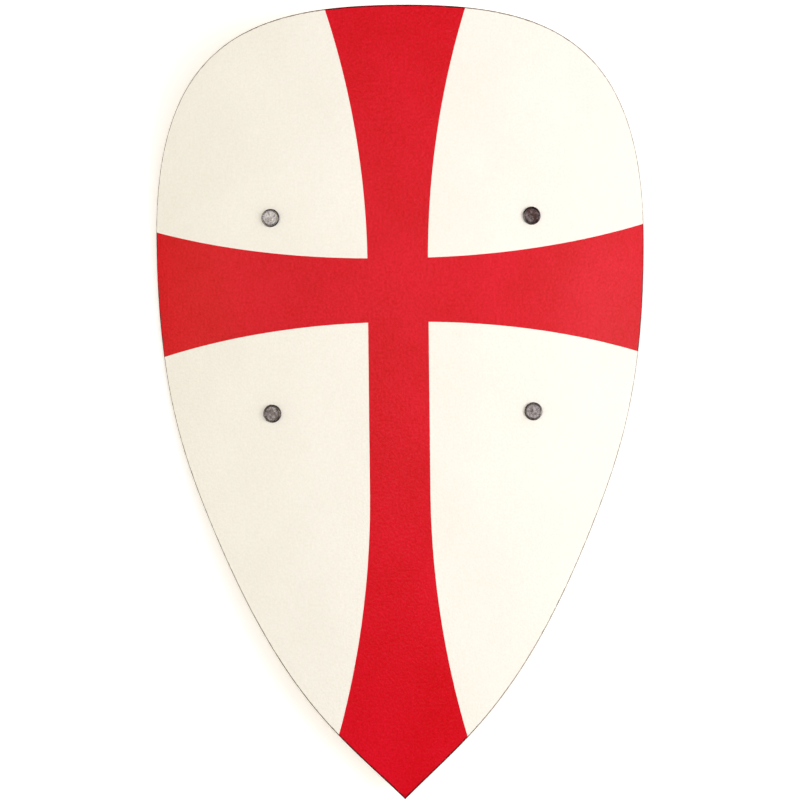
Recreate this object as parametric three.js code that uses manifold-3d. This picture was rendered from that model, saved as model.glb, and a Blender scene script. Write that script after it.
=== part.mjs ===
/**
 * A child's toy kite shield, lying on the floor with its painted face up.
 *
 * The board is one sheet of thin plywood, bent to a cylinder about its long axis and cut to a kite
 * outline. Four flat rivets go through it. Behind it each pair of rivets holds a vertical strap of
 * elastic webbing, so that a forearm passes across the back through both straps.
 *
 * The sheet is described flat. "Across" runs to the right and "up" runs to the top, both from the
 * middle of the widest line, and "depth" goes into the sheet from its front face. Bending wraps
 * "across" around the bend axis, which is parallel to Y. The bent shield rests on its two side
 * edges, tilted so that its centre of mass stands over them. Units are millimetres, +Z up.
 */
import * as THREE from 'three';
import { mergeVertices } from 'three/addons/utils/BufferGeometryUtils.js';
import Module from 'manifold-3d';

// Board
const heightAboveWidest = 148.8;
const heightBelowWidest = 371.2;
const flatHalfWidth = 167.4;
const bendRadius = 420;
const boardThickness = 4;
const edgeRounding = 1.2;

// Outline, as shares of the half width and of the height above or below the widest line
const topFullness = 0.513;
const shoulderFullness = 0.925;
const sideFullness = 0.251;
const kneeAcross = 0.787;
const kneeDown = 0.499;
const kneeSlope = 0.95;
const kneeHandleUp = 0.121;
const kneeHandleDown = 0.329;
const tipHandleAcross = 0.249;
const tipHandleDown = 0.111;

// Rivets
const rivetSpacingAcross = 172.6;
const rivetSpacingUp = 128.6;
const upperRivetRise = 10.5;
const rivetPatternShift = 0.8;
const headDiameter = 12;
const headThickness = 1.6;
const headBevel = 0.7;
const shankDiameter = 4;
const capDiameter = 10;
const capThickness = 1.2;

// Straps
const strapWidth = 25;
const strapThickness = 1.8;
const strapEndOverhang = 13;
const strapCornerRadius = 5;
const strapFlatPastCap = 3;
const strapRampShare = 0.68;

// Clearances
const gap = 0.3;
const holeClearance = 0.4;
const strapFloorClearance = 2;

// Fineness of the faceted solids
const boardColumnsPerSide = 48;
const outlineSamples = 120;
const edgeRoundingSteps = 2;
const rivetSides = 28;
const holeSides = 24;
const strapRampSteps = 14;
const strapCornerSteps = 4;

const wasm = await Module();
wasm.setup();

// Solids

// One closed mesh from loose triangles: equal corners are shared and flat slivers are dropped.
function weld(geometry) {
  const bare = geometry.clone();
  bare.deleteAttribute('normal');
  bare.deleteAttribute('uv');
  const merged = mergeVertices(bare);
  const corners = [];
  for (let i = 0; i < merged.index.count; i += 3) {
    const [a, b, c] = [0, 1, 2].map((k) => merged.index.getX(i + k));
    if (a !== b && b !== c && c !== a) {
      corners.push(a, b, c);
    }
  }
  merged.setIndex(corners);
  return merged;
}

function toManifold(geometry) {
  const welded = weld(geometry);
  const mesh = new wasm.Mesh({
    numProp: 3,
    vertProperties: new Float32Array(welded.getAttribute('position').array),
    triVerts: new Uint32Array(welded.index.array),
  });
  return new wasm.Manifold(mesh);
}

function fromManifold(solid) {
  const mesh = solid.getMesh();
  const geometry = new THREE.BufferGeometry();
  geometry.setAttribute('position', new THREE.BufferAttribute(mesh.vertProperties, 3));
  geometry.setIndex(new THREE.BufferAttribute(mesh.triVerts, 1));
  return geometry;
}

function subtractAll(geometry, cutters) {
  const cut = cutters.reduce((rest, cutter) => rest.subtract(toManifold(cutter)), toManifold(geometry));
  return fromManifold(cut);
}

// A sheet's solid from a stack of rings, front ring first. A ring is a list of columns from left to
// right, each with a low and a high end.
function solidFromRings(rings) {
  const loops = rings.map((ring) => [
    ...ring.map((column) => column.low),
    ...ring.map((column) => column.high).reverse(),
  ]);
  const size = loops[0].length;
  const positions = [];
  const quad = (a, b, c, d) => {
    [a, b, c, a, c, d].forEach((p) => positions.push(p.x, p.y, p.z));
  };
  for (let i = 0; i < size / 2 - 1; i += 1) {
    const front = loops[0];
    const back = loops.at(-1);
    const j = size - 1 - i;
    quad(front[i], front[i + 1], front[j - 1], front[j]);
    quad(back[j], back[j - 1], back[i + 1], back[i]);
  }
  for (let k = 1; k < loops.length; k += 1) {
    for (let i = 0; i < size; i += 1) {
      const next = (i + 1) % size;
      quad(loops[k][i], loops[k][next], loops[k - 1][next], loops[k - 1][i]);
    }
  }
  const geometry = new THREE.BufferGeometry();
  geometry.setAttribute('position', new THREE.Float32BufferAttribute(positions, 3));
  return weld(geometry);
}

// Bending

// A point of the flat sheet after bending, with the front face's middle line at height zero.
function bend(across, up, depth) {
  const angle = across / bendRadius;
  const radius = bendRadius - depth;
  return new THREE.Vector3(radius * Math.sin(angle), up, radius * Math.cos(angle) - bendRadius);
}

// Carries an object made on the front face's middle line round the bend, to its place on the sheet.
function onSheet(object, across, up) {
  const turn = new THREE.Group();
  turn.position.set(0, up, -bendRadius);
  turn.rotation.y = across / bendRadius;
  object.position.z = bendRadius;
  turn.add(object);
  return turn;
}

// Board

// The right half of the flat outline: shoulder, upper side and lower side.
function outlineCurves() {
  const w = flatHalfWidth;
  const h = heightAboveWidest;
  const d = heightBelowWidest;
  const knee = new THREE.Vector2(kneeAcross * w, -kneeDown * d);
  const kneeDirection = new THREE.Vector2(kneeSlope * w, d);
  const above = knee.clone().addScaledVector(kneeDirection, kneeHandleUp);
  const below = knee.clone().addScaledVector(kneeDirection, -kneeHandleDown);
  const path = new THREE.Path();
  path.moveTo(0, h);
  path.bezierCurveTo(topFullness * w, h, w, shoulderFullness * h, w, 0);
  path.bezierCurveTo(w, -sideFullness * d, above.x, above.y, knee.x, knee.y);
  path.bezierCurveTo(below.x, below.y, tipHandleAcross * w, (tipHandleDown - 1) * d, 0, -d);
  return path.curves;
}

// Points along an outline curve, moved into the board by inset.
function insetPoints(curve, inset) {
  const points = [];
  for (let i = 0; i <= outlineSamples; i += 1) {
    const t = i / outlineSamples;
    const tangent = curve.getTangent(t);
    const inwards = new THREE.Vector2(tangent.y, -tangent.x);
    points.push(curve.getPoint(t).addScaledVector(inwards, inset));
  }
  return points;
}

// Height at which a line of points crosses a given distance across.
function heightAt(points, across) {
  for (let i = 1; i < points.length; i += 1) {
    const a = points[i - 1];
    const b = points[i];
    if (a.x !== b.x && Math.min(a.x, b.x) <= across && across <= Math.max(a.x, b.x)) {
      return THREE.MathUtils.mapLinear(across, a.x, b.x, a.y, b.y);
    }
  }
  const distance = (p) => Math.abs(p.x - across);
  return points.reduce((best, p) => (distance(p) < distance(best) ? p : best)).y;
}

// Columns of the flat board from edge to edge, closer together near the two sides.
function boardColumns(inset) {
  const [shoulder, ...lowerCurves] = outlineCurves();
  const upper = insetPoints(shoulder, inset);
  const lower = lowerCurves.flatMap((curve) => insetPoints(curve, inset));
  const columns = [];
  for (let i = -boardColumnsPerSide; i <= boardColumnsPerSide; i += 1) {
    const share = Math.sin(((i / boardColumnsPerSide) * Math.PI) / 2);
    const across = share * (flatHalfWidth - inset);
    const reach = Math.abs(across);
    columns.push({ across, low: heightAt(lower, reach), high: heightAt(upper, reach) });
  }
  return columns;
}

function boardRing(inset, depth) {
  return boardColumns(inset).map(({ across, low, high }) => ({
    low: bend(across, low, depth),
    high: bend(across, high, depth),
  }));
}

// The front and back edges are rounded by the same quarter circle.
function boardGeometry() {
  const front = [];
  const back = [];
  for (let i = 0; i <= edgeRoundingSteps; i += 1) {
    const angle = ((i / edgeRoundingSteps) * Math.PI) / 2;
    const inset = edgeRounding * (1 - Math.sin(angle));
    const depth = edgeRounding * (1 - Math.cos(angle));
    front.push(boardRing(inset, depth));
    back.unshift(boardRing(inset, boardThickness - depth));
  }
  return solidFromRings([...front, ...back]);
}

// Rivets

const rivetAcross = [-rivetSpacingAcross / 2, rivetSpacingAcross / 2].map((x) => x + rivetPatternShift);
const rivetUp = [upperRivetRise, upperRivetRise - rivetSpacingUp];

// Head, shank and back cap as one solid, with the front face of the board at height zero.
function rivetGeometry() {
  const head = headDiameter / 2;
  const shank = shankDiameter / 2;
  const cap = capDiameter / 2;
  const top = gap + headThickness;
  const capFace = -(boardThickness + strapThickness + 2 * gap);
  const bottom = capFace - capThickness;
  const profile = [
    [0, bottom],
    [cap - headBevel, bottom],
    [cap, bottom + headBevel],
    [cap, capFace],
    [shank, capFace],
    [shank, gap],
    [head, gap],
    [head, top - headBevel],
    [head - headBevel, top],
    [0, top],
  ].map(([x, y]) => new THREE.Vector2(x, y));
  return weld(new THREE.LatheGeometry(profile, rivetSides).rotateX(Math.PI / 2));
}

// Cutters for the rivets' holes, through the board or through a strap lying behind it.
function rivetHole() {
  const depth = boardThickness + strapThickness + capThickness;
  const radius = shankDiameter / 2 + holeClearance;
  return new THREE.CylinderGeometry(radius, radius, 3 * depth, holeSides).rotateX(Math.PI / 2);
}

function boardHoles() {
  return rivetAcross.flatMap((across) =>
    rivetUp.map((up) => {
      const hole = new THREE.Mesh(rivetHole());
      const place = onSheet(hole, across, up);
      place.updateMatrixWorld(true);
      return hole.geometry.applyMatrix4(hole.matrixWorld);
    }),
  );
}

// Resting on the floor

// Centre of mass of the bent sheet, summed over the strips between its columns.
function centreOfMass() {
  const columns = boardColumns(0);
  const centre = new THREE.Vector3();
  let total = 0;
  for (let i = 1; i < columns.length; i += 1) {
    const [a, b] = [columns[i - 1], columns[i]];
    const area = ((b.across - a.across) * (a.high + b.high - a.low - b.low)) / 2;
    const up = (a.high + b.high + a.low + b.low) / 4;
    centre.addScaledVector(bend((a.across + b.across) / 2, up, boardThickness / 2), area);
    total += area;
  }
  return centre.divideScalar(total);
}

// The tilt about X at which the centre of mass is lowest over the floor, and the floor's height there.
function restOnFloor(geometry) {
  const corners = geometry.getAttribute('position');
  const centre = centreOfMass();
  const height = (y, z, tilt) => y * Math.sin(tilt) + z * Math.cos(tilt);
  const floorAt = (tilt) => {
    let lowest = Infinity;
    for (let i = 0; i < corners.count; i += 1) {
      lowest = Math.min(lowest, height(corners.getY(i), corners.getZ(i), tilt));
    }
    return lowest;
  };
  const rise = (tilt) => height(centre.y, centre.z, tilt) - floorAt(tilt);
  let low = -Math.PI / 8;
  let high = Math.PI / 8;
  while (high - low > 1e-7) {
    const third = (high - low) / 3;
    if (rise(low + third) < rise(high - third)) {
      high -= third;
    } else {
      low += third;
    }
  }
  const tilt = (low + high) / 2;
  return { tilt, floor: floorAt(tilt) };
}

// Straps

// How far behind the front face the floor is, at a place on the sheet.
function floorDepth(across, up, rest) {
  const floorHeight = (rest.floor - up * Math.sin(rest.tilt)) / Math.cos(rest.tilt);
  return bendRadius - (bendRadius + floorHeight) / Math.cos(across / bendRadius);
}

// Half lengths of a strap, from its middle: to where it leaves the board and to where it is level.
const strapLeaves = rivetSpacingUp / 2 - capDiameter / 2 - strapFlatPastCap;
const strapRamp = strapRampShare * strapLeaves;
const strapLevel = strapLeaves - strapRamp;

// The strap bows away from the board as far as the floor lets its outer edge go.
function strapBow(rest) {
  const outerEdge = rivetSpacingAcross / 2 + Math.abs(rivetPatternShift) + strapWidth / 2;
  const middle = upperRivetRise - rivetSpacingUp / 2;
  const floors = [-strapLevel, strapLevel].map((up) => floorDepth(outerEdge, middle + up, rest));
  return Math.min(...floors) - boardThickness - gap - strapThickness - strapFloorClearance;
}

// Stations along a strap, from its lower end to its upper end, measured from its middle: place along
// it, how far its middle layer sinks from the board's back, the slope there and its half width. It
// lies flat under each rivet, ramps away from the board and is level in between.
function strapStations(rest) {
  const bow = strapBow(rest);
  const half = strapWidth / 2;
  const end = rivetSpacingUp / 2 + strapEndOverhang;
  const upper = [];
  for (let i = 0; i <= strapRampSteps; i += 1) {
    const share = i / strapRampSteps;
    const sink = (bow * (1 + Math.cos(Math.PI * share))) / 2;
    const slope = (-bow * Math.PI * Math.sin(Math.PI * share)) / (2 * strapRamp);
    upper.push({ up: strapLevel + strapRamp * share, sink, slope, half });
  }
  for (let i = 0; i <= strapCornerSteps; i += 1) {
    const angle = ((i / strapCornerSteps) * Math.PI) / 2;
    const up = end - strapCornerRadius * (1 - Math.sin(angle));
    const narrowing = strapCornerRadius * (1 - Math.cos(angle));
    upper.push({ up, sink: 0, slope: 0, half: half - narrowing });
  }
  const lower = upper.map((station) => ({ ...station, up: -station.up, slope: -station.slope }));
  return [...lower.reverse(), ...upper];
}

function strapGeometry(rest) {
  const middle = boardThickness + gap + strapThickness / 2;
  const rings = [-strapThickness / 2, strapThickness / 2].map((offset) =>
    strapStations(rest).map(({ up, sink, slope, half }) => {
      const length = Math.hypot(1, slope);
      const height = up - (offset * slope) / length;
      const depth = middle + sink + offset / length;
      return { low: bend(half, height, depth), high: bend(-half, height, depth) };
    }),
  );
  const holes = [-rivetSpacingUp / 2, rivetSpacingUp / 2].map((up) => rivetHole().translate(0, up, 0));
  return subtractAll(solidFromRings(rings), holes);
}

// Assembly

const cream = new THREE.MeshStandardMaterial({ color: '#f1e9d8', roughness: 0.5, metalness: 0 });
const steel = new THREE.MeshStandardMaterial({ color: '#a39c9c', roughness: 0.32, metalness: 1 });
const webbing = new THREE.MeshStandardMaterial({ color: '#2b2320', roughness: 0.9, metalness: 0 });

function named(name, geometry, material) {
  const mesh = new THREE.Mesh(geometry, material);
  mesh.name = name;
  return mesh;
}

const boardSolid = subtractAll(boardGeometry(), boardHoles());
const rest = restOnFloor(boardSolid);
const shield = new THREE.Group();
shield.add(named('shield_board', boardSolid, cream));

const sides = ['left', 'right'];
const levels = ['upper', 'lower'];
sides.forEach((side, i) => {
  levels.forEach((level, j) => {
    const rivet = named(`rivet_${level}_${side}`, rivetGeometry(), steel);
    shield.add(onSheet(rivet, rivetAcross[i], rivetUp[j]));
  });
  const strap = named(`strap_${side}`, strapGeometry(rest), webbing);
  shield.add(onSheet(strap, rivetAcross[i], upperRivetRise - rivetSpacingUp / 2));
});

// The origin is on the floor under the middle of the shield's length.
shield.rotation.x = rest.tilt;
shield.updateMatrixWorld(true);
const extent = new THREE.Box3().setFromObject(shield, true);
shield.position.y = -(extent.min.y + extent.max.y) / 2;
shield.position.z = -rest.floor;

const part = new THREE.Group();
part.add(shield);
part.updateMatrixWorld(true);

export default part;
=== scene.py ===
"""The looks of a child's toy kite shield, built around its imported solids.

The shield is one bent plywood sheet, painted cream with a red flared cross. Four flat rivets go through
it and hold two elastic arm straps behind it. It lies on a light table with its painted face up, and the
camera looks straight down on that face.

Shapes are described in millimetres on the flat sheet: "across" runs to the right and "up" to the top,
both from the middle of the widest line, and "depth" goes into the sheet from its painted face. The class
Sheet bends them to their place in the frame, which is in metres.
"""

import math

import bpy
import numpy as np
from mathutils import Matrix, Vector, geometry, noise


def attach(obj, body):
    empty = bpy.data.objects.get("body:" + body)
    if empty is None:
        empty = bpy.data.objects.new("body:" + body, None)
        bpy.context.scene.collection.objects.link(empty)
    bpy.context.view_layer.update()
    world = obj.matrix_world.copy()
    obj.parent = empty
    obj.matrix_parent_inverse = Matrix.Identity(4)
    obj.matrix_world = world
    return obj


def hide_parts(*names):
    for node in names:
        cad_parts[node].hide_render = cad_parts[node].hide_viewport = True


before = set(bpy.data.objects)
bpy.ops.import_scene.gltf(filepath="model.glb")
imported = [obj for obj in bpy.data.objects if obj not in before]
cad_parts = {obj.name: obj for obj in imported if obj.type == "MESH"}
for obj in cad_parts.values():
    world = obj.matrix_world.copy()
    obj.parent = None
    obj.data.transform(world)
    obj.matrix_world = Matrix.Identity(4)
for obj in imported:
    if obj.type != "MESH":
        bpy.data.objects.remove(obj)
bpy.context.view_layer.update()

MM = 0.001

# The sheet
HEIGHT_ABOVE_WIDEST = 148.8
HEIGHT_BELOW_WIDEST = 371.2
FLAT_HALF_WIDTH = 167.4
BEND_RADIUS = 420
BOARD_THICKNESS = 4
EDGE_ROUNDING = 1.2
BACK_EDGE_WIDTH = 0.95 * EDGE_ROUNDING
INSET_LIMIT = 10
CORE_HALF_THICKNESS = 0.7
BROWNED_DEPTH = 2.2

# The outline, as shares of the half width and of the height above or below the widest line
TOP_FULLNESS = 0.513
SHOULDER_FULLNESS = 0.925
SIDE_FULLNESS = 0.251
KNEE_ACROSS = 0.787
KNEE_DOWN = 0.499
KNEE_SLOPE = 0.95
KNEE_HANDLE_UP = 0.121
KNEE_HANDLE_DOWN = 0.329
TIP_HANDLE_ACROSS = 0.249
TIP_HANDLE_DOWN = 0.111

# The painted cross. Each arm is straight from the middle to where its flare starts, and its edges
# are then arcs. It was masked by hand, so that its stem and its arms aren't quite square.
CROSS_MIDDLE = (-1.66, -37.97)
STEM_TURN = math.radians(0.09)
ARM_TURN = math.radians(0.325)
STEM_HALF_WIDTH = 19.82
ARM_HALF_HEIGHT = 20.93
TOP_FLARE = {"start": 15.7, "radius": 555}
FOOT_FLARE = {"start": 131.9, "radius": 581}
SIDE_FLARE = {"start": 6.8, "radius": 596}
STEM_REACH = 345
ARM_REACH = 200
CORNER_ROUNDS = 4

# Rivets
RIVET_SPACING_ACROSS = 172.6
RIVET_SPACING_UP = 128.6
UPPER_RIVET_RISE = 10.5
RIVET_PATTERN_SHIFT = 0.8
HEAD_RADIUS = 6
HEAD_HEIGHT = 1.9
SHANK_RADIUS = 2
HOLE_RADIUS = 2.4
CAP_RADIUS = 5
CAP_THICKNESS = 1.2

# A head's dished face, the thin lip round it, the rounded shoulder and the underside, whose points are
# given by how far in from the head's radius they are and their height over the board
FACE_RADIUS = 4.9
FACE_HEIGHT = 1.72
FACE_DISH = 0.05
LIP_WIDTH = 0.25
LIP_RISE = 0.18
LIP_START = 0.5
SHOULDER_WIDTH = 0.8
SHOULDER_FOOT = 0.75
UNDERSIDE = ((0.04, 0.35), (0.2, 0.03))
LEANING_ABOVE = 0.5
LEAN_SPARE = 0.2

# A cap's seat in the webbing, its rounded edge, and the radius and depth of the points of its well
CAP_SEAT = ((0.25, 0.05), (0.04, -0.15))
CAP_EDGE_ROUNDING = 0.8
CAP_EDGE_START = 0.4
CAP_WELL = ((2.1, 0), (1.95, 0.06), (1.7, 0.45), (1.5, 0.55), (0.8, 0.6), (0, 0.6))

# Uneven patterns on the heads: how strong and how close they are, and how far on the next rivet's is.
# The last two turn and move the steel's scratches and marks from one rivet to the next.
DENTS = {"size": 0.014, "frequency": 0.62, "stride": 7.3}
RIPPLES = {"size": 0.004, "frequency": 1.7, "stride": 3.1}
STAINS = {"size": 0.2, "frequency": 0.4, "stride": 5.9}
PATTERN_TURN = 1.9
PATTERN_STRIDE = 20

# Painted shade on the rim, nearly all round: where it starts and is full, and its amount; how much less it
# is where a painted highlight keeps the rim bright, how sharply that highlight ends, the cap's tarnish, and
# how bright the dull handling marks are
RIM_START = 5.1
RIM_FULL = 5.6
RIM_PAINTED_SHADE = 0.75
PAINTED_HIGHLIGHT_SHARE = 0.8
PAINTED_HIGHLIGHT_SHARPNESS = 3
CAP_TARNISH = 0.15
DULL_SHARE = 0.72

# How each head leans (its rise for each millimetre to the right and up), how dark its face is, partly
# tarnish and partly painted reflection, and at which angle a painted highlight keeps its rim bright
RIVET_HEADS = {
    ("upper", "left"): {"lean": (0.0, 0.0), "tarnish_and_painted_reflection": 0.2, "painted_highlight_angle": 218},
    ("upper", "right"): {"lean": (-0.015, 0.0), "tarnish_and_painted_reflection": 0.8, "painted_highlight_angle": 200},
    ("lower", "left"): {"lean": (0.0, 0.0), "tarnish_and_painted_reflection": 0.6, "painted_highlight_angle": 225},
    ("lower", "right"): {"lean": (-0.01, 0.0), "tarnish_and_painted_reflection": 0.56, "painted_highlight_angle": 340},
}

# Straps
STRAP_WIDTH = 25
STRAP_THICKNESS = 1.8
STRAP_END_OVERHANG = 13
STRAP_CORNER_RADIUS = 5
STRAP_FLAT_PAST_CAP = 3
STRAP_RAMP_SHARE = 0.68
STRAP_EDGE_ROUNDING = 0.7
STRAP_EDGE_SHARE = 0.35
STRAP_PRESSED = 0.12
RIB_PITCH = 1.6
RIB_DEPTH = 0.14
WEFT_PITCH = 0.95
GAP = 0.3

# Fineness of the meshes
OUTLINE_STEP = 2.5
LENGTH_SAMPLES = 50
ROUNDING_STEPS = 5
FACE_GRID = 6
GRID_CLEARANCE = 0.4 * FACE_GRID
HOLE_SIDES = 32
RIVET_SIDES = 72
PROFILE_STEPS = 12
LIP_STEPS = 4
CAP_EDGE_STEPS = 8
STRAP_OUTLINE_STEP = 1.6
STRAP_CORNER_STEPS = 8
STRAP_GRID_ACROSS = RIB_PITCH / 4
STRAP_GRID_UP = 1.8
STRAP_GRID_CLEARANCE = 0.25
STRAP_HOLE_CLEARANCE = 0.3
STRAP_HOLE_SIDES = 20
WELD_DISTANCE = 1e-3
SLIVER_AREA = 1e-9
POINTS_AT_ONCE = 2000


# Place of the sheet in the frame


def node_corners(name):
    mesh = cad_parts[name].data
    corners = np.empty(3 * len(mesh.vertices))
    mesh.vertices.foreach_get("co", corners)
    return corners.reshape(-1, 3)


class Sheet:
    """The bent sheet's own directions and origin, worked out from the solids."""

    def __init__(self):
        upper, lower = (node_corners(f"rivet_{level}_left").mean(axis=0) for level in ("upper", "lower"))
        self.right = np.array((1.0, 0.0, 0.0))
        self.up = (upper - lower) / np.linalg.norm(upper - lower)
        self.out = np.cross(self.right, self.up)
        corners = node_corners("shield_board")
        top = (corners @ self.up).max() - HEIGHT_ABOVE_WIDEST * MM
        self.origin = top * self.up + (corners @ self.out).max() * self.out

    def directions(self, across):
        """For places across the sheet: out of its face, and along its face to the right."""
        angle = np.asarray(across, float)[:, None] / BEND_RADIUS
        out = np.sin(angle) * self.right + np.cos(angle) * self.out
        along = np.cos(angle) * self.right - np.sin(angle) * self.out
        return out, along

    def place(self, across, up, depth):
        """Points of the flat sheet, bent and in the frame."""
        out, _ = self.directions(across)
        radius = (BEND_RADIUS - np.asarray(depth, float))[:, None] + np.zeros_like(out)
        local = radius * out - BEND_RADIUS * self.out + np.asarray(up, float)[:, None] * self.up
        return self.origin + MM * local

    def depth_of(self, corners):
        """How far behind the painted face each point of the frame is."""
        local = (corners - self.origin) / MM
        return BEND_RADIUS - np.hypot(local @ self.right, local @ self.out + BEND_RADIUS)


sheet = Sheet()
rivet_across = {
    "left": RIVET_PATTERN_SHIFT - RIVET_SPACING_ACROSS / 2,
    "right": RIVET_PATTERN_SHIFT + RIVET_SPACING_ACROSS / 2,
}
rivet_up = {"upper": UPPER_RIVET_RISE, "lower": UPPER_RIVET_RISE - RIVET_SPACING_UP}


# Flat outlines


def bezier(a, b, c, d, t):
    t = t[:, None]
    return (1 - t) ** 3 * a + 3 * (1 - t) ** 2 * t * b + 3 * (1 - t) * t**2 * c + t**3 * d


def outline_curves():
    """Control points of the right half outline: shoulder, upper side and lower side."""
    w, h, d = FLAT_HALF_WIDTH, HEIGHT_ABOVE_WIDEST, HEIGHT_BELOW_WIDEST
    knee = np.array((KNEE_ACROSS * w, -KNEE_DOWN * d))
    direction = np.array((KNEE_SLOPE * w, d))
    shoulder = [(0, h), (TOP_FULLNESS * w, h), (w, SHOULDER_FULLNESS * h), (w, 0)]
    upper_side = [(w, 0), (w, -SIDE_FULLNESS * d), knee + KNEE_HANDLE_UP * direction, knee]
    before_tip = (TIP_HANDLE_ACROSS * w, (TIP_HANDLE_DOWN - 1) * d)
    lower_side = [knee, knee - KNEE_HANDLE_DOWN * direction, before_tip, (0, -d)]
    return [[np.array(p, float) for p in curve] for curve in (shoulder, upper_side, lower_side)]


def half_outline(inset):
    """Points down the right half of the outline, moved into the board by inset, from top to tip."""
    parts = []
    for curve in outline_curves():
        samples = bezier(*curve, np.linspace(0, 1, LENGTH_SAMPLES))
        length = np.linalg.norm(np.diff(samples, axis=0), axis=1).sum()
        steps = math.ceil(length / OUTLINE_STEP)
        t = np.linspace(0, 1, steps + 1)
        small = 1e-4
        before, after = bezier(*curve, t - small), bezier(*curve, t + small)
        along = (after - before) / np.linalg.norm(after - before, axis=1)[:, None]
        inwards = np.stack([along[:, 1], -along[:, 0]], axis=1)
        points = bezier(*curve, t) + inset * inwards
        parts.append(points[1:] if parts else points)
    points = np.concatenate(parts)
    inside = points[:, 0] > 0
    last = np.nonzero(inside)[0][-1]
    if last + 1 < len(points):
        a, b = points[last], points[last + 1]
        share = a[0] / (a[0] - b[0])
        points = np.concatenate([points[: last + 1], [a + share * (b - a)]])
    points[0, 0] = points[-1, 0] = 0
    return points


def outline(inset=0.0):
    """The whole outline as a loop."""
    half = half_outline(inset)
    return np.concatenate([half, half[-2:0:-1] * (-1, 1)])


def circle(middle, radius, sides):
    turn = np.arange(sides) * 2 * math.pi / sides
    return np.array(middle) + radius * np.stack([np.cos(turn), np.sin(turn)], axis=1)


def distance_to(loop, points):
    """Distance of each point to a closed loop, and the loop's outward direction at its nearest place."""
    a, b = loop, np.roll(loop, -1, axis=0)
    along = (b - a) / np.linalg.norm(b - a, axis=1)[:, None]
    lengths = np.linalg.norm(b - a, axis=1)
    nearest = np.empty(len(points))
    outwards = np.empty((len(points), 2))
    turned = np.stack([-along[:, 1], along[:, 0]], axis=1) * (1 if turns_right(loop) else -1)
    for start in range(0, len(points), POINTS_AT_ONCE):
        block = points[start : start + POINTS_AT_ONCE]
        offset = block[:, None, :] - a[None]
        reach = np.clip((offset * along[None]).sum(axis=2), 0, lengths[None])
        gaps = np.linalg.norm(offset - reach[:, :, None] * along[None], axis=2)
        best = gaps.argmin(axis=1)
        nearest[start : start + POINTS_AT_ONCE] = gaps[np.arange(len(block)), best]
        outwards[start : start + POINTS_AT_ONCE] = turned[best]
    return nearest, outwards


def turns_right(loop):
    a, b = loop, np.roll(loop, -1, axis=0)
    return (a[:, 0] * b[:, 1] - b[:, 0] * a[:, 1]).sum() < 0


def within(loop, points):
    """Whether each point is inside a closed loop."""
    x, y = points[:, 0][:, None], points[:, 1][:, None]
    ax, ay = loop[:, 0][None], loop[:, 1][None]
    bx, by = np.roll(loop[:, 0], -1)[None], np.roll(loop[:, 1], -1)[None]
    rise = np.where(by == ay, 1, by - ay)
    crosses = ((ay > y) != (by > y)) & (x < ax + (y - ay) * (bx - ax) / rise)
    return crosses.sum(axis=1) % 2 == 1


# The painted cross


def flared(half, flare, reach):
    """Half width of an arm of the cross at a distance from the cross's middle."""
    past = np.maximum(reach - flare["start"], 0)
    return half + flare["radius"] - np.sqrt(flare["radius"] ** 2 - past**2)


cross_turns = np.array(
    ((math.cos(STEM_TURN), -math.sin(ARM_TURN)), (math.sin(STEM_TURN), math.cos(ARM_TURN)))
)


def to_cross(points):
    """Sheet points in the cross's own directions."""
    return (points - CROSS_MIDDLE) @ cross_turns


def from_cross(points):
    return points @ np.linalg.inv(cross_turns) + CROSS_MIDDLE


def in_cross(points):
    x, y = to_cross(points).T
    stem = np.where(y > 0, flared(STEM_HALF_WIDTH, TOP_FLARE, y), flared(STEM_HALF_WIDTH, FOOT_FLARE, -y))
    return (np.abs(x) < stem) | (np.abs(y) < flared(ARM_HALF_HEIGHT, SIDE_FLARE, np.abs(x)))


def cross_edges():
    """The eight edges of the cross, each a line of points from an inner corner out past the outline."""
    lines = []
    for upright, flare in ((1, TOP_FLARE), (-1, FOOT_FLARE)):
        corner = np.array((STEM_HALF_WIDTH, ARM_HALF_HEIGHT))
        for _ in range(CORNER_ROUNDS):
            corner = np.array(
                (flared(STEM_HALF_WIDTH, flare, corner[1]), flared(ARM_HALF_HEIGHT, SIDE_FLARE, corner[0]))
            )
        for side in (-1, 1):
            along_stem = np.arange(corner[1], STEM_REACH, OUTLINE_STEP)
            along_arm = np.arange(corner[0], ARM_REACH, OUTLINE_STEP)
            stem = np.stack([flared(STEM_HALF_WIDTH, flare, along_stem), along_stem], axis=1)
            arm = np.stack([along_arm, flared(ARM_HALF_HEIGHT, SIDE_FLARE, along_arm)], axis=1)
            lines += [from_cross(line * (side, upright)) for line in (stem, arm)]
    return lines


# Meshes from flat shapes


def joined(count, start, closed):
    ends = [(start + i, start + i + 1) for i in range(count - 1)]
    return ends + [(start + count - 1, start)] if closed else ends


def triangulate(loops, lines, loose, inside):
    """Triangles between closed loops, open lines and loose points, where inside says so."""
    points, edges = [], []
    for shape, closed in [(loop, True) for loop in loops] + [(line, False) for line in lines]:
        edges += joined(len(shape), len(points), closed)
        points += [Vector(p) for p in shape]
    points += [Vector(p) for p in loose]
    found, _, faces, *_ = geometry.delaunay_2d_cdt(points, edges, [], 0, WELD_DISTANCE)
    found, faces = np.array(found), np.array(faces)
    a, b, c = (found[faces[:, i]] for i in range(3))
    area = (b[:, 0] - a[:, 0]) * (c[:, 1] - a[:, 1]) - (c[:, 0] - a[:, 0]) * (b[:, 1] - a[:, 1])
    faces[area < 0] = faces[area < 0][:, ::-1]
    faces = faces[(np.abs(area) > SLIVER_AREA) & inside(found[faces].mean(axis=1))]
    used, faces = np.unique(faces, return_inverse=True)
    return found[used], faces.reshape(-1, 3)


def border(faces):
    """The edges that only one triangle has, each with its triangle on the left."""
    edges = {(a, b) for t in faces.tolist() for a, b in zip(t, t[1:] + t[:1])}
    return np.array(sorted((a, b) for a, b in edges if (b, a) not in edges))


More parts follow.
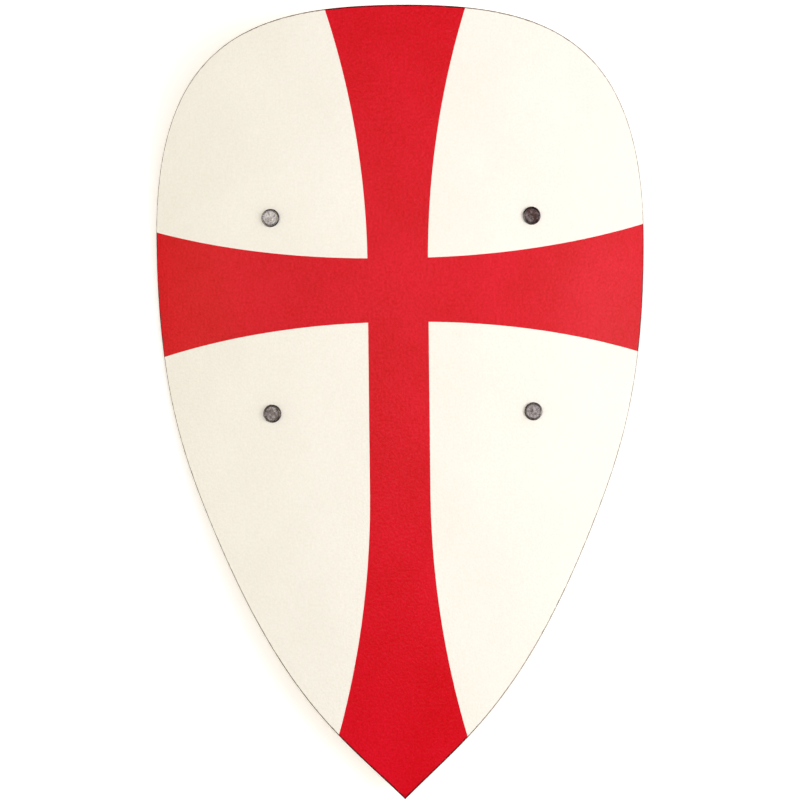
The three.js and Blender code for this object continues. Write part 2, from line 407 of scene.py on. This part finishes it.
def grid(low, high, step_across, step_up):
    x = np.arange(low[0] + step_across / 2, high[0], step_across)
    y = np.arange(low[1] + step_up / 2, high[1], step_up)
    return np.stack(np.meshgrid(x, y), axis=2).reshape(-1, 2)


class Slab:
    """A solid from a flat triangulation: a front, a back and the walls between their borders."""

    def __init__(self, points, faces, front_depth, back_depth):
        self.points, self.faces = points, faces
        self.walls = border(faces)
        n = len(points)
        self.across = np.tile(points[:, 0], 2)
        self.up = np.tile(points[:, 1], 2)
        self.depth = np.concatenate([front_depth, back_depth])
        i, j = self.walls.T
        self.polygons = faces.tolist() + (faces[:, ::-1] + n).tolist()
        self.polygons += np.stack([i, i + n, j + n, j], axis=1).tolist()

    def mesh(self, name, corners, normals, attributes, materials, slots):
        """normals has one row for each corner of each polygon, and slots one number for each polygon."""
        mesh = bpy.data.meshes.new(name)
        mesh.from_pydata(corners.tolist(), [], self.polygons)
        mesh.polygons.foreach_set("material_index", np.asarray(slots, np.int32))
        mesh.polygons.foreach_set("use_smooth", np.ones(len(self.polygons), bool))
        for key, values in attributes.items():
            kind, field = ("FLOAT_VECTOR", "vector") if values.ndim == 2 else ("FLOAT", "value")
            made = mesh.attributes.new(key, kind, "POINT")
            made.data.foreach_set(field, values.astype(np.float32).ravel())
        for material in materials:
            mesh.materials.append(material)
        mesh.update()
        mesh.normals_split_custom_set(normals.tolist())
        return link(name, mesh)


def link(name, mesh):
    piece = bpy.data.objects.new(name, mesh)
    bpy.context.scene.collection.objects.link(piece)
    return piece


# Materials


def new_material(name):
    material = bpy.data.materials.new(name)
    material.use_nodes = True
    tree = material.node_tree
    return material, tree, tree.nodes["Principled BSDF"]


def node(tree, kind, inputs=None, **settings):
    made = tree.nodes.new("ShaderNode" + kind)
    for key, value in settings.items():
        setattr(made, key, value)
    for key, value in (inputs or {}).items():
        if isinstance(value, bpy.types.NodeSocket):
            tree.links.new(value, made.inputs[key])
        else:
            made.inputs[key].default_value = value
    return made


def attribute(tree, name, output="Vector"):
    return node(tree, "Attribute", attribute_name=name).outputs[output]


def scaled(tree, vector, periods):
    """A pattern's coordinates: the sheet's millimetres over the pattern's periods."""
    scale = tuple(1 / p for p in periods)
    return node(tree, "VectorMath", {0: vector, 1: scale}, operation="MULTIPLY").outputs[0]


def noise_of(tree, vector, periods, detail=2.0, roughness=0.5, distortion=0.0):
    inputs = {
        "Vector": scaled(tree, vector, periods),
        "Scale": 1.0,
        "Detail": detail,
        "Roughness": roughness,
        "Distortion": distortion,
    }
    return node(tree, "TexNoise", inputs).outputs["Fac"]


def remap(tree, value, low, high, to_low, to_high, smooth=False):
    inputs = {"Value": value, "From Min": low, "From Max": high, "To Min": to_low, "To Max": to_high}
    kind = "SMOOTHSTEP" if smooth else "LINEAR"
    return node(tree, "MapRange", inputs, interpolation_type=kind).outputs["Result"]


def math_of(tree, operation, a, b=0.0):
    return node(tree, "Math", {0: a, 1: b}, operation=operation).outputs[0]


def mixed(tree, factor, a, b):
    made = node(tree, "Mix", data_type="RGBA")
    for key, value in (("Factor_Float", factor), ("A_Color", a), ("B_Color", b)):
        socket = next(s for s in made.inputs if s.identifier == key)
        if isinstance(value, bpy.types.NodeSocket):
            tree.links.new(value, socket)
        else:
            socket.default_value = value
    return next(s for s in made.outputs if s.identifier == "Result_Color")


def bumped(tree, shader, height, distance):
    inputs = {"Height": height, "Distance": distance}
    tree.links.new(node(tree, "Bump", inputs).outputs["Normal"], shader.inputs["Normal"])


def rgb(red, green, blue):
    """A colour from its 0 to 255 screen values."""

    def linear(v):
        v /= 255
        return v / 12.92 if v <= 0.04045 else ((v + 0.055) / 1.055) ** 2.4

    return (linear(red), linear(green), linear(blue), 1.0)


def weighted(tree, first, first_share, second, second_share):
    """Two patterns, each times its share, added up."""
    a = math_of(tree, "MULTIPLY", first, first_share)
    return math_of(tree, "ADD", a, math_of(tree, "MULTIPLY", second, second_share))


def paint(name, colour, darker, worn, wear_and_shade_width, roughness):
    """Satin paint, rolled over the veneer: its fine stipple, a faint vertical grain that shows through,
    and a dark band on the rounded edge, partly wear and partly painted shade."""
    material, tree, shader = new_material(name)
    place = attribute(tree, "sheet")
    inset = attribute(tree, "inset", "Fac")
    stipple = noise_of(tree, place, (1.5, 1.7, 1.5), detail=2.5, roughness=0.6)
    grain = noise_of(tree, place, (2.1, 8.0, 2.1), detail=3.0, roughness=0.6)
    cloud = noise_of(tree, place, (46.0, 60.0, 46.0), detail=2.0)
    texture = weighted(tree, stipple, 0.7, grain, 0.3)
    fine_tone = remap(tree, texture, 0.34, 0.66, 0.0, 0.8)
    tone = math_of(tree, "ADD", fine_tone, remap(tree, cloud, 0.3, 0.7, -0.1, 0.3))
    painted = mixed(tree, tone, darker, colour)
    # The worn colour on the rounded edge is partly wear and partly painted shade, made ragged by noise.
    ragged_edge = noise_of(tree, place, (3.0, 5.0, 3.0), detail=3.0, roughness=0.7)
    wear_and_shade = math_of(tree, "ADD", inset, remap(tree, ragged_edge, 0.3, 0.7, -0.2, 0.25))
    kept = remap(tree, wear_and_shade, wear_and_shade_width / 2, wear_and_shade_width, 0.0, 1.0, smooth=True)
    tree.links.new(mixed(tree, kept, worn, painted), shader.inputs["Base Color"])
    gloss = remap(tree, texture, 0.3, 0.7, roughness + 0.05, roughness - 0.05)
    tree.links.new(gloss, shader.inputs["Roughness"])
    shader.inputs["Specular IOR Level"].default_value = 0.1
    bumped(tree, shader, texture, distance=0.25 * MM)
    return material


def veneer(name):
    """Bare birch veneer with its grain upright."""
    material, tree, shader = new_material(name)
    place = attribute(tree, "sheet")
    wander = noise_of(tree, place, (70.0, 260.0, 70.0), detail=3.0, distortion=0.4)
    figure = node(
        tree,
        "TexWave",
        {
            "Vector": scaled(tree, place, (34.0, 900.0, 34.0)),
            "Scale": 1.0,
            "Distortion": 6.5,
            "Detail": 3.0,
            "Detail Scale": 1.2,
            "Detail Roughness": 0.55,
        },
        wave_type="BANDS",
        bands_direction="X",
    ).outputs["Fac"]
    fibres = noise_of(tree, place, (0.55, 26.0, 0.55), detail=4.0, roughness=0.65)
    flecks = noise_of(tree, place, (0.4, 5.0, 0.4), detail=2.0, roughness=0.7)
    light = mixed(tree, remap(tree, figure, 0.1, 0.9, 0.0, 1.0), rgb(220, 192, 151), rgb(228, 203, 164))
    broad = mixed(tree, remap(tree, wander, 0.35, 0.65, 0.0, 0.5), light, rgb(220, 187, 140))
    fine = mixed(tree, remap(tree, fibres, 0.42, 0.66, 0.0, 0.38), broad, rgb(184, 146, 100))
    spotted = mixed(tree, remap(tree, flecks, 0.66, 0.74, 0.0, 0.45), fine, rgb(150, 110, 70))
    tree.links.new(spotted, shader.inputs["Base Color"])
    tree.links.new(remap(tree, fibres, 0.3, 0.7, 0.62, 0.74), shader.inputs["Roughness"])
    shader.inputs["Specular IOR Level"].default_value = 0.3
    bumped(tree, shader, weighted(tree, fibres, 1.0, flecks, -0.5), distance=0.06 * MM)
    return material


def ply_edge(name):
    """The cut edge: two face plies, a darker core and two glue lines, browned towards the painted face."""
    material, tree, shader = new_material(name)
    place = attribute(tree, "sheet")
    depth = node(tree, "SeparateXYZ", {0: place}).outputs["Z"]
    waver = noise_of(tree, place, (9.0, 9.0, 9.0), detail=1.0)
    depth = math_of(tree, "ADD", depth, remap(tree, waver, 0.3, 0.7, -0.06, 0.06))
    fibres = noise_of(tree, place, (0.6, 0.9, 0.25), detail=3.0, roughness=0.7)
    pores = noise_of(tree, place, (0.35, 0.35, 0.35), detail=2.0)
    face_ply = mixed(tree, remap(tree, fibres, 0.35, 0.7, 0.0, 0.8), rgb(196, 162, 118), rgb(156, 120, 80))
    core = mixed(tree, remap(tree, pores, 0.4, 0.65, 0.0, 0.9), rgb(170, 132, 90), rgb(126, 92, 58))
    middle = math_of(tree, "ABSOLUTE", math_of(tree, "SUBTRACT", depth, BOARD_THICKNESS / 2))
    past_core = math_of(tree, "SUBTRACT", middle, CORE_HALF_THICKNESS)
    plies = mixed(tree, remap(tree, past_core, -0.02, 0.02, 0.0, 1.0), core, face_ply)
    glue = math_of(tree, "ABSOLUTE", past_core)
    wood = mixed(tree, remap(tree, glue, 0.03, 0.1, 0.85, 0.0), plies, rgb(104, 72, 46))
    near_face = remap(tree, depth, EDGE_ROUNDING, BROWNED_DEPTH, 0.75, 0.0)
    browned = mixed(tree, near_face, wood, rgb(102, 76, 52))
    tree.links.new(browned, shader.inputs["Base Color"])
    shader.inputs["Roughness"].default_value = 0.72
    shader.inputs["Specular IOR Level"].default_value = 0.3
    bumped(tree, shader, math_of(tree, "ADD", fibres, pores), distance=0.08 * MM)
    return material


def steel(name, colour, tarnish_and_reflection_colour, roughness):
    """Plated steel with fine scratches, dull handling marks, and darkening that is partly tarnish and
    partly painted reflection and shade.
    """
    material, tree, shader = new_material(name)
    place = attribute(tree, "rivet")
    scratches = noise_of(tree, place, (0.12, 2.6, 0.5), detail=3.0, roughness=0.6)
    marks = noise_of(tree, place, (1.3, 1.3, 1.3), detail=3.0, roughness=0.6)
    tarnish_and_painted_reflection = attribute(tree, "tarnish_and_painted_reflection", "Fac")
    shader.inputs["Metallic"].default_value = 1.0
    dull = tuple(DULL_SHARE * c for c in colour[:3]) + (1.0,)
    plated = mixed(tree, remap(tree, marks, 0.4, 0.65, 0.0, 0.7), colour, dull)
    patchy = math_of(tree, "ADD", tarnish_and_painted_reflection, remap(tree, marks, 0.3, 0.7, -0.1, 0.1))
    dark = remap(tree, patchy, 0.15, 0.85, 0.0, 1.0)
    tree.links.new(mixed(tree, dark, plated, tarnish_and_reflection_colour), shader.inputs["Base Color"])
    tree.links.new(
        remap(tree, marks, 0.35, 0.7, roughness - 0.01, roughness + 0.12), shader.inputs["Roughness"]
    )
    bumped(tree, shader, scratches, distance=0.012 * MM)
    return material


def webbing(name):
    """Woven elastic: ribs along its length, close weft threads across them."""
    material, tree, shader = new_material(name)
    place = attribute(tree, "strap")
    across, along, _ = node(tree, "SeparateXYZ", {0: place}).outputs
    waves = [
        math_of(tree, "SINE", math_of(tree, "MULTIPLY", across, 2 * math.pi / RIB_PITCH)),
        math_of(tree, "SINE", math_of(tree, "MULTIPLY", along, 2 * math.pi / WEFT_PITCH)),
    ]
    weave = math_of(tree, "MULTIPLY", *waves)
    thread = math_of(tree, "SINE", math_of(tree, "MULTIPLY", along, 4 * math.pi / WEFT_PITCH))
    fuzz = noise_of(tree, place, (0.25, 0.25, 0.25), detail=2.0)
    height = math_of(tree, "ADD", weighted(tree, weave, 0.5, thread, 0.3), fuzz)
    tone = remap(tree, height, -0.6, 1.6, 0.0, 1.0)
    tree.links.new(mixed(tree, tone, rgb(24, 21, 20), rgb(66, 60, 57)), shader.inputs["Base Color"])
    shader.inputs["Roughness"].default_value = 0.85
    shader.inputs["Specular IOR Level"].default_value = 0.25
    shader.inputs["Sheen Weight"].default_value = 0.25
    shader.inputs["Sheen Roughness"].default_value = 0.5
    bumped(tree, shader, height, distance=0.12 * MM)
    return material


# Board


def rounding(inset):
    """Depth of the painted face near the edge, and the sine of how far its normal leans outwards."""
    left = EDGE_ROUNDING - np.minimum(inset, EDGE_ROUNDING)
    return EDGE_ROUNDING - np.sqrt(EDGE_ROUNDING**2 - left**2), left / EDGE_ROUNDING


def hole_inradius(sides):
    """How near the middle of a hole the sides of its polygon come."""
    return HOLE_RADIUS * math.cos(math.pi / sides)


def build_board():
    turns = np.linspace(0, math.pi / 2, ROUNDING_STEPS + 1)
    rings = [outline(EDGE_ROUNDING * (1 - math.sin(turn))) for turn in turns]
    edge = rings[-1]
    places = [(x, y) for x in rivet_across.values() for y in rivet_up.values()]
    holes = [circle(p, HOLE_RADIUS, HOLE_SIDES) for p in places]
    lines = cross_edges()
    loose = grid(edge.min(axis=0), edge.max(axis=0), FACE_GRID, FACE_GRID)
    room, _ = distance_to(edge, loose)
    clear = within(edge, loose) & (room > EDGE_ROUNDING + GRID_CLEARANCE)
    for shape in holes + lines:
        gaps = np.linalg.norm(loose[:, None] - shape[None], axis=2).min(axis=1)
        clear &= gaps > GRID_CLEARANCE

    def inside(points):
        kept = within(edge, points)
        for place in places:
            kept &= np.linalg.norm(points - place, axis=1) > hole_inradius(HOLE_SIDES)
        return kept

    points, faces = triangulate(rings + holes, lines, loose[clear], inside)
    inset, outwards = distance_to(edge, points)
    depth, lean = rounding(inset)
    slab = Slab(points, faces, depth, BOARD_THICKNESS - depth)

    out, along = sheet.directions(points[:, 0])
    sideways = outwards[:, :1] * along + outwards[:, 1:] * sheet.up
    lean = lean[:, None]
    flat = np.sqrt(1 - lean**2) * out
    front, back = flat + lean * sideways, lean * sideways - flat
    middles = points[slab.walls].mean(axis=1)
    hole = np.array([np.linalg.norm(middles - p, axis=1) < 2 * HOLE_RADIUS for p in places])
    at_hole = hole.any(axis=0)
    centres = np.array(places)[hole.argmax(axis=0)]
    wall = sideways[slab.walls]
    inwards = centres[:, None] - points[slab.walls]
    inwards /= np.linalg.norm(inwards, axis=2)[:, :, None]
    hole_wall = inwards[:, :, :1] * along[slab.walls] + inwards[:, :, 1:] * sheet.up
    wall = np.where(at_hole[:, None, None], hole_wall, wall)
    parts = [front[faces], back[faces[:, ::-1]], wall[:, [0, 0, 1, 1]]]
    normals = np.concatenate([part.reshape(-1, 3) for part in parts])

    cream, red, edge_wood, bare = 0, 1, 2, 3
    face_slots = np.where(in_cross(points[faces].mean(axis=1)), red, cream)
    back_slots = np.where(inset[faces].mean(axis=1) < BACK_EDGE_WIDTH, edge_wood, bare)
    wall_slots = np.full(len(slab.walls), edge_wood)
    attributes = {
        "sheet": np.stack([slab.across, slab.up, slab.depth], axis=1),
        "inset": np.tile(np.minimum(inset, INSET_LIMIT), 2),
    }
    # Each paint's worn colour is a dark band on the rounded edge: partly wear, partly painted shade.
    cream_paint = paint(
        "cream_paint",
        colour=rgb(247, 242, 234),
        darker=rgb(239, 233, 223),
        worn=rgb(102, 80, 58),
        wear_and_shade_width=1.08,
        roughness=0.38,
    )
    red_paint = paint(
        "red_paint",
        colour=rgb(221, 14, 39),
        darker=rgb(197, 0, 5),
        worn=rgb(56, 5, 8),
        wear_and_shade_width=1.4,
        roughness=0.32,
    )
    materials = [cream_paint, red_paint, ply_edge("plywood_edge"), veneer("birch_veneer")]
    corners = sheet.place(slab.across, slab.up, slab.depth)
    slots = np.concatenate([face_slots, back_slots, wall_slots])
    board = slab.mesh("painted_board", corners, normals, attributes, materials, slots)
    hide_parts("shield_board")
    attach(board, "root")


# Rivets


def rivet_profile():
    """Radius and height over the painted face, from the middle of the head to the middle of the cap."""
    face = [(r, FACE_HEIGHT) for r in np.linspace(0, FACE_RADIUS, PROFILE_STEPS)]
    lip = [
        (FACE_RADIUS + LIP_WIDTH * (1 - math.cos(a)), FACE_HEIGHT + LIP_RISE * math.sin(a))
        for a in np.linspace(LIP_START, math.pi / 2, LIP_STEPS)
    ]
    fall = HEAD_HEIGHT - SHOULDER_FOOT
    shoulder = [
        (HEAD_RADIUS - SHOULDER_WIDTH * (1 - math.sin(a)), SHOULDER_FOOT + fall * math.cos(a))
        for a in np.linspace(0, math.pi / 2, PROFILE_STEPS)
    ]
    under = [(HEAD_RADIUS - inwards, rise) for inwards, rise in UNDERSIDE]
    under += [(SHANK_RADIUS, under[-1][1])]
    top = -(BOARD_THICKNESS + 2 * GAP + STRAP_THICKNESS)
    seat = [(CAP_RADIUS - inwards, top + rise) for inwards, rise in CAP_SEAT]
    seat = [(SHANK_RADIUS, seat[0][1])] + seat
    fall = CAP_THICKNESS - CAP_EDGE_START
    edge = [
        (CAP_RADIUS - CAP_EDGE_ROUNDING * (1 - math.cos(a)), top - CAP_EDGE_START - fall * math.sin(a))
        for a in np.linspace(0, math.pi / 2, CAP_EDGE_STEPS)
    ]
    well = [(r, top - CAP_THICKNESS + depth) for r, depth in CAP_WELL]
    return face + lip + shoulder + under + seat + edge + well


def uneven(x, y, pattern, seed):
    """An uneven pattern's value at each point of a rivet."""
    places = (Vector((p, q, pattern["stride"] * seed)) * pattern["frequency"] for p, q in zip(x, y))
    return pattern["size"] * np.array([noise.noise(place) for place in places])


def tarnish_and_reflection_of(x, y, in_front, head, seed):
    """How dark each point of a rivet is: painted shade on the head's rim nearly all round, broken by a
    painted highlight, and the face's own share, partly tarnish and partly painted reflection, with stains;
    the cap's is tarnish.
    """
    radius, angle = np.hypot(x, y), np.arctan2(y, x)
    rim = np.clip((radius - RIM_START) / (RIM_FULL - RIM_START), 0, 1)
    turned = np.cos(angle - math.radians(head["painted_highlight_angle"]))
    painted_highlight = np.clip(1 + PAINTED_HIGHLIGHT_SHARPNESS * (turned - 1), 0, 1)
    stains = uneven(x, y, STAINS, seed)
    # Painted reflection on the face and painted shade on the rim, lightened where the painted highlight is.
    front = np.maximum(head["tarnish_and_painted_reflection"] + stains, RIM_PAINTED_SHADE * rim) * (1 - PAINTED_HIGHLIGHT_SHARE * painted_highlight * rim)
    return np.clip(np.where(in_front, front, CAP_TARNISH + stains), 0, 1)


def build_rivet(name, across, up, head, seed, material):
    profile = np.array(rivet_profile())
    turn = np.arange(RIVET_SIDES) * 2 * math.pi / RIVET_SIDES
    inner = profile[1:-1]
    x = np.outer(inner[:, 0], np.cos(turn)).ravel()
    y = np.outer(inner[:, 0], np.sin(turn)).ravel()
    z = np.repeat(inner[:, 1], RIVET_SIDES)
    x, y = np.append(x, (0, 0)), np.append(y, (0, 0))
    z = np.append(z, (profile[0, 1], profile[-1, 1]))
    in_front = z > LEANING_ABOVE
    dished = FACE_DISH * np.clip(1 - np.hypot(x, y) / FACE_RADIUS, 0, 1)
    worn = z + uneven(x, y, DENTS, seed) + uneven(x, y, RIPPLES, seed) - dished
    lean = head["lean"][0] * x + head["lean"][1] * y
    leaning = np.minimum(worn * (1 + lean / HEAD_HEIGHT), HEAD_HEIGHT + LEAN_SPARE)
    z = np.where(in_front, leaning, z)

    rows, last = len(inner), len(x) - 1
    ring = np.arange(rows * RIVET_SIDES).reshape(rows, RIVET_SIDES)
    following = np.roll(ring, -1, axis=1)
    quads = np.stack([ring[:-1], ring[1:], following[1:], following[:-1]], axis=2)
    polygons = quads.reshape(-1, 4).tolist()
    polygons += [[last - 1, a, b] for a, b in zip(ring[0].tolist(), following[0].tolist())]
    polygons += [[last, b, a] for a, b in zip(ring[-1].tolist(), following[-1].tolist())]

    out, along = sheet.directions([across])
    corners = sheet.place([across], [up], [0]) + MM * (
        x[:, None] * along + y[:, None] * sheet.up + z[:, None] * out
    )
    mesh = bpy.data.meshes.new(name)
    mesh.from_pydata(corners.tolist(), [], polygons)
    mesh.polygons.foreach_set("use_smooth", np.ones(len(polygons), bool))
    c, s = math.cos(PATTERN_TURN * seed), math.sin(PATTERN_TURN * seed)
    own = np.stack([x * c - y * s, x * s + y * c, z + PATTERN_STRIDE * seed], axis=1)
    made = mesh.attributes.new("rivet", "FLOAT_VECTOR", "POINT")
    made.data.foreach_set("vector", own.astype(np.float32).ravel())
    # Painted reflection on each face, painted shade on the rim with a painted highlight left bright, and
    # stains.
    tarnish_and_painted_reflection = tarnish_and_reflection_of(x, y, in_front, head, seed)
    made = mesh.attributes.new("tarnish_and_painted_reflection", "FLOAT", "POINT")
    made.data.foreach_set("value", tarnish_and_painted_reflection.astype(np.float32))
    mesh.materials.append(material)
    mesh.update()
    piece = link(name.replace("rivet", "rivet_head"), mesh)
    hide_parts(name)
    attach(piece, "root")


def build_rivets():
    # The dark colour serves both as tarnish and as painted reflection and shade on the heads.
    plated = steel("nickel_plate", rgb(133, 128, 127), tarnish_and_reflection_colour=rgb(46, 33, 31), roughness=0.27)
    for seed, ((level, side), head) in enumerate(RIVET_HEADS.items(), start=1):
        build_rivet(f"rivet_{level}_{side}", rivet_across[side], rivet_up[level], head, seed, plated)


# Straps


def strap_outline():
    """A strap lying flat, from its middle: a rectangle with rounded corners."""
    half, end, r = STRAP_WIDTH / 2, RIVET_SPACING_UP / 2 + STRAP_END_OVERHANG, STRAP_CORNER_RADIUS
    corner = circle((0, 0), r, 4 * STRAP_CORNER_STEPS)
    parts = []
    for turn, (x, y) in enumerate(((1, 1), (-1, 1), (-1, -1), (1, -1))):
        first = STRAP_CORNER_STEPS * turn
        quarter = np.take(corner, range(first, first + STRAP_CORNER_STEPS + 1), axis=0, mode="wrap")
        parts.append(quarter + ((half - r) * x, (end - r) * y))
    loop = np.concatenate(parts)
    filled = []
    for a, b in zip(loop, np.roll(loop, -1, axis=0)):
        steps = max(1, round(np.linalg.norm(b - a) / STRAP_OUTLINE_STEP))
        filled += [a + (b - a) * k / steps for k in range(steps)]
    return np.array(filled)


def build_strap(side, material):
    name = f"strap_{side}"
    depths = sheet.depth_of(node_corners(name))
    bow = depths.max() - (BOARD_THICKNESS + GAP + STRAP_THICKNESS)
    leaves = RIVET_SPACING_UP / 2 - CAP_RADIUS - STRAP_FLAT_PAST_CAP
    ramp = STRAP_RAMP_SHARE * leaves
    level = leaves - ramp
    edge = strap_outline()
    places = [(0, -RIVET_SPACING_UP / 2), (0, RIVET_SPACING_UP / 2)]
    holes = [circle(p, HOLE_RADIUS, STRAP_HOLE_SIDES) for p in places]
    loose = grid(edge.min(axis=0), edge.max(axis=0), STRAP_GRID_ACROSS, STRAP_GRID_UP)
    room, _ = distance_to(edge, loose)
    clear = within(edge, loose) & (room > STRAP_GRID_CLEARANCE)
    for shape in holes:
        gaps = np.linalg.norm(loose[:, None] - shape[None], axis=2).min(axis=1)
        clear &= gaps > STRAP_HOLE_CLEARANCE

    def inside(points):
        kept = within(edge, points)
        for place in places:
            kept &= np.linalg.norm(points - place, axis=1) > hole_inradius(STRAP_HOLE_SIDES)
        return kept

    points, faces = triangulate([edge] + holes, [], loose[clear], inside)
    inset, _ = distance_to(edge, points)
    x, y = points.T
    share = np.clip((np.abs(y) - level) / ramp, 0, 1)
    sink = bow * (1 + np.cos(math.pi * share)) / 2
    steepest = bow * math.pi / (2 * ramp)
    on_ramp = (share > 0) & (share < 1)
    slope = np.where(on_ramp, -np.sign(y) * steepest * np.sin(math.pi * share), 0)
    ends = np.minimum(*(np.linalg.norm(points - p, axis=1) for p in places))
    loosened = np.clip((ends - CAP_RADIUS) / STRAP_FLAT_PAST_CAP, 0, 1) ** 0.5
    rounded = np.clip(inset / STRAP_EDGE_ROUNDING, 0, 1)
    ribs = RIB_DEPTH * loosened * (0.5 - 0.5 * np.cos(2 * math.pi * x / RIB_PITCH))
    full = STRAP_EDGE_SHARE + (1 - STRAP_EDGE_SHARE) * np.sqrt(1 - (1 - rounded) ** 2)
    half = (STRAP_THICKNESS / 2 - STRAP_PRESSED * (1 - loosened)) * full - ribs * rounded
    slab = Slab(points, faces, -half, half)
    length = np.tile(np.hypot(1, slope), 2)
    middle = BOARD_THICKNESS + GAP + STRAP_THICKNESS / 2 + np.tile(sink, 2)
    up = slab.up - slab.depth * np.tile(slope, 2) / length
    corners = sheet.place(
        slab.across + rivet_across[side],
        up + (rivet_up["upper"] + rivet_up["lower"]) / 2,
        middle + slab.depth / length,
    )
    mesh = bpy.data.meshes.new(name)
    mesh.from_pydata(corners.tolist(), [], slab.polygons)
    mesh.polygons.foreach_set("use_smooth", np.ones(len(slab.polygons), bool))
    own = np.stack([slab.across, slab.up, slab.depth], axis=1)
    made = mesh.attributes.new("strap", "FLOAT_VECTOR", "POINT")
    made.data.foreach_set("vector", own.astype(np.float32).ravel())
    mesh.materials.append(material)
    mesh.update()
    piece = link(f"elastic_strap_{side}", mesh)
    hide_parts(name)
    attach(piece, "root")


# Stage

PIXELS_PER_MM = 1.5294
PICTURE_PIXELS = 800
CAMERA_DISTANCE = 1600
CAMERA_AIM = (-1.02, -109.87)
CAMERA_ROLL = math.radians(0.53)
SENSOR_WIDTH = 36
CLIP_END = 100

# Lights, in degrees, metres and watts, with the size across and up
LIGHTS = {
    "softbox_right": {
        "azimuth": -8,
        "elevation": 39,
        "distance": 1.9,
        "size": (0.85, 0.85),
        "power": 16.1,
        "colour": (1.0, 1.0, 1.0),
    },
    "softbox_left": {
        "azimuth": 178,
        "elevation": 43,
        "distance": 1.9,
        "size": (0.5, 0.5),
        "power": 4.3,
        "colour": (1.0, 0.88, 0.35),
    },
    "ceiling": {
        "azimuth": 90,
        "elevation": 88.5,
        "distance": 1.8,
        "size": (3.6, 0.42),
        "power": 25.6,
        "colour": (1.0, 1.0, 1.0),
    },
}

# The world's strength near the horizon and overhead, and the heights between which it changes
HORIZON_STRENGTH = 0.74
OVERHEAD_STRENGTH = 0.02
HORIZON_TOP = 0.35
OVERHEAD_FROM = 0.7


def build_camera():
    camera = bpy.data.objects.new("camera", bpy.data.cameras.new("camera"))
    bpy.context.scene.collection.objects.link(camera)
    camera.data.sensor_width = SENSOR_WIDTH
    camera.data.lens = PIXELS_PER_MM * CAMERA_DISTANCE * SENSOR_WIDTH / PICTURE_PIXELS
    camera.data.clip_end = CLIP_END
    across, up = CAMERA_AIM
    c, s = math.cos(CAMERA_ROLL), math.sin(CAMERA_ROLL)
    right = Vector(c * sheet.right - s * sheet.up)
    above = Vector(s * sheet.right + c * sheet.up)
    place = sheet.origin + MM * (across * sheet.right + up * sheet.up + CAMERA_DISTANCE * sheet.out)
    turned = Matrix((right, above, Vector(sheet.out))).transposed().to_4x4()
    camera.matrix_world = Matrix.Translation(Vector(place)) @ turned
    bpy.context.scene.camera = camera


def build_floor():
    """A wide light table whose rim sweeps up, so that it is its own backdrop."""
    flat, sweep, rings, steps, sides = 3.0, 1.2, 4, 14, 96
    profile = [(flat * (i + 1) / rings, 0) for i in range(rings)]
    bends = np.linspace(0, math.pi / 2, steps)[1:]
    profile += [(flat + sweep * math.sin(a), sweep * (1 - math.cos(a))) for a in bends]
    turn = np.arange(sides) * 2 * math.pi / sides
    corners = [(0, 0, 0)] + [(r * math.cos(t), r * math.sin(t), z) for r, z in profile for t in turn]
    polygons = [(0, 1 + i, 1 + (i + 1) % sides) for i in range(sides)]
    for k in range(len(profile) - 1):
        start = 1 + k * sides
        for i in range(sides):
            j = (i + 1) % sides
            polygons.append((start + i, start + sides + i, start + sides + j, start + j))
    mesh = bpy.data.meshes.new("floor")
    mesh.from_pydata(corners, [], polygons)
    mesh.polygons.foreach_set("use_smooth", np.ones(len(polygons), bool))
    material, tree, shader = new_material("floor_paper")
    place = node(tree, "TexCoord").outputs["Object"]
    fibre = node(tree, "TexNoise", {"Vector": place, "Scale": 60.0, "Detail": 3.0}).outputs["Fac"]
    tree.links.new(
        mixed(tree, fibre, (0.93, 0.93, 0.93, 1), (0.95, 0.95, 0.95, 1)), shader.inputs["Base Color"]
    )
    shader.inputs["Roughness"].default_value = 0.9
    shader.inputs["Specular IOR Level"].default_value = 0.1
    shader.inputs["Emission Color"].default_value = (1.0, 1.0, 1.0, 1)
    shader.inputs["Emission Strength"].default_value = 0.3
    mesh.materials.append(material)
    link("floor", mesh)


def panel(name, azimuth, elevation, distance, size, power, colour):
    """A soft rectangular light that faces the shield. Azimuth 0 is to its right, 90 past its top."""
    light = bpy.data.lights.new(name, "AREA")
    light.shape = "RECTANGLE"
    light.size, light.size_y = size
    light.energy = power
    light.color = colour
    lamp = bpy.data.objects.new(name, light)
    bpy.context.scene.collection.objects.link(lamp)
    a, e = math.radians(azimuth), math.radians(elevation)
    away = Vector((math.cos(a) * math.cos(e), math.sin(a) * math.cos(e), math.sin(e)))
    lamp.location = away * distance
    lamp.rotation_euler = away.to_track_quat("Z", "Y").to_euler()


def build_lights():
    for name, light in LIGHTS.items():
        panel(name, **light)
    world = bpy.data.worlds.new("studio")
    world.use_nodes = True
    tree = world.node_tree
    background = tree.nodes["Background"]
    background.inputs["Color"].default_value = (1.0, 1.0, 1.0, 1)
    direction = node(tree, "TexCoord").outputs["Generated"]
    height = node(tree, "SeparateXYZ", {0: direction}).outputs["Z"]
    strength = remap(tree, height, HORIZON_TOP, OVERHEAD_FROM, HORIZON_STRENGTH, OVERHEAD_STRENGTH)
    tree.links.new(strength, background.inputs["Strength"])
    bpy.context.scene.world = world
    bpy.context.scene.view_settings.view_transform = "Standard"


build_camera()
build_board()
build_rivets()
elastic = webbing("elastic_webbing")
for strap_side in rivet_across:
    build_strap(strap_side, elastic)
build_floor()
build_lights()
